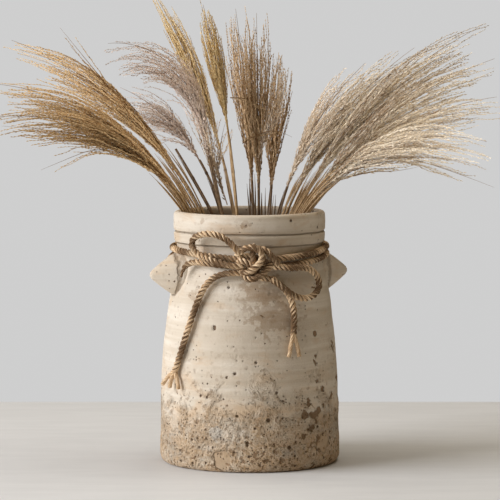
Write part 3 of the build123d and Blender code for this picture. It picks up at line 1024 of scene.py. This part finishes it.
def strawPaint(colours):
    def paint(graph):
        place = graph.add("ShaderNodeTexCoord")["Object"]
        grain = graph.noise(graph.stretch(place, (900, 900, 40)), 1.0, 3)
        node = graph.attribute("joint")
        base = graph.mix(grain.ramp(0.3, 0.7), colours[0], colours[1])
        return {"Base Color": graph.mix(node, base, colours[2])}

    return paint


straws = {
    "straw_stem": newMaterial("straw", strawPaint(
        ((0.30, 0.17, 0.065), (0.60, 0.42, 0.22), (0.16, 0.085, 0.035))), Roughness=0.5),
    "dark_stem": newMaterial("dark_straw", strawPaint(
        ((0.10, 0.055, 0.024), (0.28, 0.175, 0.085), (0.06, 0.03, 0.012))), Roughness=0.5),
}


def growPath(footX, footY, azimuth, reach, lean, length, tipLean, straight=0):
    # straight up from the foot, a first bend to the mouth and a second one above it
    turn, a, b = (math.radians(v) for v in (azimuth, lean, tipLean))
    across = Vector((math.cos(turn), math.sin(turn), 0))
    first = reach / (1 - math.cos(a))
    second = (length - straight) / (b - a)
    base = Vector((footX, footY, 0))
    lower = [base + Vector((0, 0, footHeight))]
    for i in range(17):
        c = a * i / 16
        height = mouthHeight - first * math.sin(a) + first * math.sin(c)
        lower.append(base + across * first * (1 - math.cos(c)) + Vector((0, 0, height)))

    def above(distance):
        # the point that far along the stem from the mouth
        ahead = min(distance, straight)
        c = a + (distance - ahead) / second
        out = reach + ahead * math.sin(a) + second * (math.cos(a) - math.cos(c))
        rise = ahead * math.cos(a) + second * (math.sin(c) - math.sin(a))
        return base + across * out + Vector((0, 0, mouthHeight + rise))

    return lower, above


def lineObject(name, points, kind="POLY"):
    data = bpy.data.curves.new(name, "CURVE")
    data.dimensions = "3D"
    spline = data.splines.new(kind)
    spline.points.add(len(points) - 1)
    for point, place in zip(spline.points, points):
        point.co = (*(Vector(place) * mm), 1)
    if kind == "NURBS":
        spline.order_u = 3
        spline.use_endpoint_u = True
    return link(name, data)


def stalkTree():
    graph, entry, finish = geometryTree("stalk", {
        "Radius": 0.0013, "Straws": 3, "Straw Radius": 0.0007, "Joint Gap": 0.062, "Part": 0.0,
        "Seed": 1,
    })
    tau = 2 * math.pi
    axis = entry["Geometry"]
    line = graph.add("GeometryNodeResampleCurve", {"mode": "LENGTH"},
                     {"Curve": axis, "Length": 0.0022})[0]
    length = graph.spline("Length")
    phase = (length / entry["Joint Gap"]).math("FRACT") - 0.5
    joint = 1 - phase.math("ABSOLUTE").ramp(0.0, 0.035)
    line = graph.store(line, "joint", joint)
    tube = graph.tube(line, graph.circle(8), entry["Radius"] * (joint * 0.3 + 1))
    # thin straws and blade sheaths lying along the stem
    many = graph.add("GeometryNodeMeshLine", None, {"Count": entry["Straws"]})[0]
    order = graph.add("GeometryNodeInputIndex")[0]
    for name, value in {
        "turn": order * 2.4 + chance(graph, 0, 1.2, entry["Seed"]),
        "off": chance(graph, 0.2, 1.0, entry["Seed"] + 3),
        "start": chance(graph, 0.0, 0.25, entry["Seed"] + 5),
        "stop": chance(graph, 0.92, 1.0, entry["Seed"] + 9),
    }.items():
        many = graph.store(many, name, value)
    sheaths = graph.copies(many, 46)
    s = graph.spline()
    along = graph.named("start") + s * (graph.named("stop") - graph.named("start"))
    sample = graph.along(axis, along)
    gap = (entry["Radius"] + entry["Straw Radius"] * 0.7
           + graph.named("off") * entry["Part"] * along.ramp(0.55, 1.0))
    away = sideways(graph, sample["Tangent"], sample["Normal"], graph.named("turn") + along * 2.5)
    put = graph.moved(sheaths, Position=summed(graph, sample["Position"], scaled(graph, away, gap)))
    taper = (1 - s).ramp(0.0, 0.1) * 0.8 + 0.2
    thin = graph.tube(put, graph.circle(5), entry["Straw Radius"] * taper)
    finish(graph.smoothed(graph.joined(tube, thin)))
    return graph.tree


def plumeTree():
    graph, entry, finish = geometryTree("plume", {
        "Racemes": 80, "Spread": 0.012, "Flare": 0.004, "Droop": 0.0, "Reach": 0.62,
        "Spacing": 0.0028, "Spikelet": 0.0048, "Hair": 0.006, "Hair Spacing": 0.0014,
        "Open": 22.0, "Thread": 0.0003, "Close": 0.35, "Widest": 0.6, "Rod": 0.0011, "Seed": 1,
    })
    tau = 2 * math.pi
    axis = entry["Geometry"]
    seed = entry["Seed"] * 100
    many = graph.add("GeometryNodeMeshLine", None, {"Count": entry["Racemes"]})[0]
    order = graph.add("GeometryNodeInputIndex")[0] / entry["Racemes"]
    start = order * (1 - entry["Reach"]) * 0.95 + chance(graph, 0, 0.05, seed + 1)
    many = graph.store(many, "start", start)
    many = graph.store(many, "run", chance(graph, 0.72, 1.08, seed + 2) * entry["Reach"])
    many = graph.store(many, "turn", chance(graph, 0, tau, seed + 3))
    many = graph.store(many, "off", chance(graph, 0.02, 1, seed + 4) ** 0.55)
    clump = graph.noise(graph.point(
        graph.named("turn") * 0.9, graph.named("off") * 2.5, entry["Seed"] * 3.7), 1.0, 1)
    many = graph.store(many, "shade", clump.ramp(0.3, 0.7) * 0.6 + chance(graph, 0, 0.4, seed + 5))
    many = graph.store(many, "own", chance(graph, 0, 50, seed + 6))
    threads = graph.copies(many, 20)
    s = graph.spline()
    along = graph.named("start") + s * graph.named("run")
    sample = graph.along(axis, along.least(1.0))
    total = graph.add("GeometryNodeCurveLength", None, {0: axis})[0]
    over = (along - 1).most(0.0) * total
    swing = graph.noise(graph.point(s * 1.6, graph.named("own"), 0.5), 1.0, 2)
    wave = graph.noise(graph.point(s * 2.2, 9.5, graph.named("own")), 1.0, 2)
    angle = graph.named("turn") + (swing - 0.5) * 2.2
    # the threads part, keep together, and close again towards the tip
    width = (entry["Spread"] * along.ramp(-0.1, entry["Widest"])
             * (1 - entry["Close"] * along.ramp(0.7, 1.15)))
    radius = graph.named("off") * (width + entry["Flare"] * s * s)
    away = sideways(graph, sample["Tangent"], sample["Normal"], angle)
    fall = entry["Droop"] * s * s * -1 + (wave - 0.5) * 0.012 * s
    place = summed(graph, sample["Position"], scaled(graph, sample["Tangent"], over),
                   scaled(graph, away, radius * s.ramp(-0.1, 0.35)), graph.point(z=fall))
    laid = graph.store(graph.moved(threads, Position=place), "tip", s)
    section = graph.circle(3)
    lines = graph.tube(laid, section, entry["Thread"] * (1 - s * 0.6))
    rachis = graph.add("GeometryNodeResampleCurve", None, {"Curve": axis, "Count": 30})[0]
    rod = graph.tube(rachis, section, entry["Rod"] * (1 - s * 0.85))

    def sprigs(spacing, shape, opening, seedShift, silk, size):
        points = graph.add("GeometryNodeCurveToPoints", {"mode": "LENGTH"},
                           {"Curve": laid, "Length": spacing})
        tilt = chance(graph, 0.35, 1.5, seed + seedShift) * opening * (math.pi / 180)
        spin = chance(graph, 0, tau, seed + seedShift + 1)
        euler = graph.add("FunctionNodeEulerToRotation", None, {0: graph.point(tilt, z=spin)})[0]
        turned = graph.add("FunctionNodeRotateRotation", {"rotation_space": "LOCAL"},
                           {0: points["Rotation"], 1: euler})[0]
        own = graph.named("shade") * 0.75 + chance(graph, 0, 0.25, seed + seedShift + 2)
        marked = graph.store(points["Points"], "shade", own)
        marked = graph.store(marked, "silk", silk)
        scale = chance(graph, 0.6, 1.15, seed + seedShift + 3) * size
        return graph.onPoints(marked, shape, Rotation=turned, Scale=scale)

    grain = graph.add("GeometryNodeMeshCone", {"fill_type": "NONE"}, {
        "Vertices": 3, "Side Segments": 2, "Radius Top": 0.00002, "Radius Bottom": 0.0001,
        "Depth": 1.0})[0]
    belly = (graph.part(graph.place(), 2) * math.pi).math("SINE") * 0.15 + 0.01
    out = graph.vectors("NORMALIZE", graph.stretch(graph.place(), (1, 1, 0)))[0]
    grain = graph.moved(grain, Offset=scaled(graph, out, belly))
    fade = 1 - graph.named("tip") * 0.35
    seeds = sprigs(entry["Spacing"], grain, entry["Open"], 20, 0.0, entry["Spikelet"] * fade)
    silk = needle(graph, 1.0, 0.017, 0.22)
    hairs = sprigs(entry["Hair Spacing"], silk, entry["Open"] * 1.25, 30, 1.0,
                   entry["Hair"] * fade)
    finish(graph.joined(lines, rod, seeds, hairs))
    return graph.tree


# how far a stem runs straight above the mouth before its second bend
straightRise = {"grass_arching": 95}
# how far above the mouth the first threads leave the stem, where it isn't where the plume starts
firstThread = {"golden": 8, "pale": 6, "brown": 12, "rosy": 45, "grey": 20}
# stray sprays: the plant they stand on, their line in millimetres, their kind and their racemes
sprays = [
    ("grass_left_low", [(-78, -12, 278), (-98, -16, 297), (-131, -22, 317), (-187, -32, 331),
                        (-242, -40, 335)], "golden", 5),
    ("grass_left_low", [(-84, -14, 283), (-122, -24, 307), (-152, -30, 313), (-178, -35, 303),
                        (-204, -40, 292)], "golden", 4),
    ("grass_left_high", [(-118, 36, 340), (-130, 38, 358), (-155, 44, 387), (-191, 50, 431)],
     "golden", 3),
    ("grass_left_high", [(-122, 36, 350), (-134, 38, 364), (-160, 43, 390), (-181, 48, 413)],
     "golden", 3),
    ("grass_right_lowest", [(88, -22, 284), (111, -28, 304), (134, -34, 308), (181, -46, 298),
                            (238, -60, 276)], "pale", 7),
    ("grass_right_lowest", [(86, -20, 280), (114, -28, 290), (146, -34, 290), (165, -38, 295)],
     "pale", 3),
    ("grass_tall", [(-22, -11, 256), (-36, -12, 300), (-50, -14, 354), (-62, -16, 417)], "grey", 16),
    ("grass_tall", [(-30, -12, 292), (-30, -14, 318), (-23, -16, 340)], "grey", 6),
    ("grass_centre_front", [(-19, -14, 362), (-5, -17, 362), (9, -18, 357), (22, -16, 353),
                            (34, -13, 346), (43, -11, 347)], "brown", 2),
    ("grass_centre_front", [(-7, -14, 317), (7, -17, 326), (22, -18, 330), (35, -15, 327),
                            (42, -13, 323)], "brown", 2),
    ("grass_centre_front", [(8, -12, 300), (22, -14, 345), (30, -15, 385), (26, -15, 402)],
     "grey", 12),
]

stalk, plume = stalkTree(), plumeTree()
total = 0
for order, (name, sizes) in enumerate(grasses.items()):
    *pathSizes, plumeLength, kind = sizes
    lower, above = growPath(*pathSizes, straightRise.get(name, 0))
    length = pathSizes[5]
    split = length - plumeLength
    upper = [above(split * i / 12) for i in range(1, 13)]
    dark = kind in (None, "brown", "grey", "rosy") and name != "bare_stem_right_front"
    slot = "dark_stem" if dark else "straw_stem"
    sheaths = 1 if kind is None else (5 if dark else 9)
    part = {"golden": 0.0065, "pale": 0.006, "brown": 0.0045}.get(kind, 0.0)
    if kind in ("upright", "rosy", "grey"):
        sheaths, part = 2, 0.0
    stem = useTree(lineObject(name + "_stalk", lower + upper), stalk, {
        "Straws": sheaths, "Part": part, "Seed": order + 1,
        "Radius": 0.0013 if kind else 0.0012, "Material": straws[slot]})
    fit(stem, name, name if kind is None else name + "_stem", slot)
    if kind is None:
        continue
    first = split if name == "grass_left_back" else firstThread.get(kind, split)
    tipLine = [above(first + (length - first) * i / 36) for i in range(37)]
    head = useTree(lineObject(name + "_head", tipLine), plume,
                   {**plumeKinds[kind], "Seed": order + 1, "Material": plumeMaterials[kind]})
    warm = kind in ("golden", "upright", "brown")
    fit(head, name, name + "_plume", "golden_plume" if warm else "pale_plume")
    triangles = len(head.data.loops) - 2 * len(head.data.polygons)
    total += triangles
    print(name, triangles, "triangles")

for order, (name, line, kind, racemes) in enumerate(sprays):
    changes = {"Racemes": racemes, "Spread": 0.0035 + 0.0006 * racemes, "Reach": 0.72,
               "Flare": 0.003, "Droop": 0.0, "Rod": 0.00065, "Seed": 50 + order,
               "Material": plumeMaterials[kind]}
    wisp = useTree(lineObject("%s_spray_%d" % (name, order), line, "NURBS"), plume,
                   {**plumeKinds[kind], **changes})
    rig.ride(wisp, name)
    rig.slot(wisp, "golden_plume" if kind in ("golden", "brown") else "pale_plume")
print("grasses grown", total, "triangles in the plumes")

view = {
    "distance": 2.659,        # along -Y from the vase's axis
    "height": 0.4263,
    "aim": 0.2102,            # height on the axis that it looks at
    "lens": 192.9,
}
camera = bpy.data.cameras.new("camera")
camera.lens = view["lens"]
camera.sensor_width = 36
cameraObject = link("camera", camera)
cameraObject.location = (0.0005, -view["distance"], view["height"])
aim = Vector((0.0005, 0, view["aim"])) - cameraObject.location
cameraObject.rotation_euler = aim.to_track_quat("-Z", "Y").to_euler()
scene.camera = cameraObject

floorMesh = bpy.data.meshes.new("floor")
floorMesh.from_pydata([(-4, -6, 0), (4, -6, 0), (4, 0.417, 0), (-4, 0.417, 0)], [], [(0, 1, 2, 3)])
floor = link("floor", floorMesh)


def paleBoards(graph):
    place = graph.add("ShaderNodeTexCoord")["Object"]
    streaks = graph.noise(graph.stretch(place, (3, 14, 1)), 3, 4, 0.6)
    return {"Base Color": graph.mix(streaks.ramp(0.3, 0.7), (0.69, 0.69, 0.685), (0.73, 0.73, 0.725))}


floorMesh.materials.append(newMaterial("pale_floor", paleBoards, Roughness=0.55))
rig.stage(floor)

world = bpy.data.worlds.new("studio")
world.use_nodes = True
scene.world = world
sky = Graph(world.node_tree)
seen = sky.add("ShaderNodeLightPath")["Is Camera Ray"]
backdrop = sky.mix(seen, (0.095, 0.067, 0.034), (0.62, 0.62, 0.62))
world.node_tree.links.new(backdrop.socket, world.node_tree.nodes["Background"].inputs["Color"])


def softLight(name, place, size, power, colour):
    lamp = bpy.data.lights.new(name, "AREA")
    lamp.shape = "RECTANGLE"
    lamp.size, lamp.size_y = size
    lamp.energy = power
    lamp.color = colour
    holder = link(name, lamp)
    holder.location = place
    towards = Vector((0, 0, 0.22)) - holder.location
    holder.rotation_euler = towards.to_track_quat("-Z", "Y").to_euler()


softLight("window", (-2.15, -0.75, 1.15), (1.8, 1.8), 72, (0.985, 1.0, 1.05))
softLight("bounce", (1.6, -1.8, 0.8), (1.6, 1.6), 1.0, (1.0, 0.80, 0.58))
softLight("above", (0.25, 0.2, 2.3), (1.5, 1.5), 29, (1.0, 0.955, 0.87))
scene.view_settings.view_transform = "Standard"

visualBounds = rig.bounds()
with open("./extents.json", "w") as out:
    json.dump({"cad": [list(c) for c in cadBounds], "visual": [list(c) for c in visualBounds]}, out)
